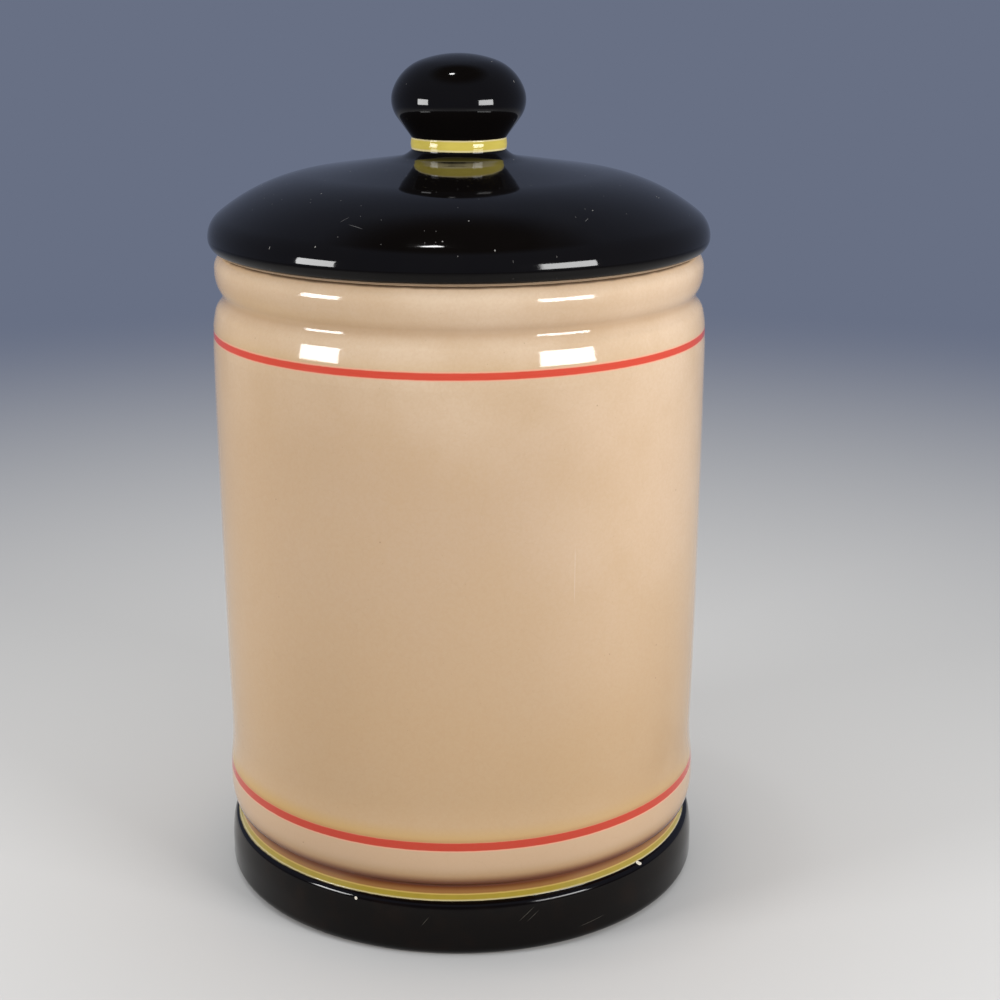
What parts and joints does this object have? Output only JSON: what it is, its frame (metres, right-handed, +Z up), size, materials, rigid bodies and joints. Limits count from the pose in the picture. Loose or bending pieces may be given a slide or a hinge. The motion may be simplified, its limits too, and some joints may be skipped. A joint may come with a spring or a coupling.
{
  "type": "biscuit jar",
  "caption": "Straight-sided round glazed biscuit jar with a domed lift-off lid, a round knob and a foot ring.",
  "frame": {"origin": "centre of the base, on the plane that the resting ring stands on", "axes": "+Z up along the jar's axis, from the base to the knob; the jar is the same all round, so +X and +Y are free"},
  "size_m": [0.1656, 0.1656, 0.28],
  "materials": {
    "jar_glaze": "gloss cream glaze with painted lines and a black foot",
    "lid_glaze": "gloss black glaze with a yellow-olive band"
  },
  "bodies": {
    "jar": {"jar": "jar_glaze"},
    "lid": {"lid": "lid_glaze"}
  },
  "joints": [
    {"name": "lid_lift", "type": "slide", "parent": "jar", "child": "lid", "axis": [0, 0, 1], "range_m": [0, 0.12]}
  ]
}
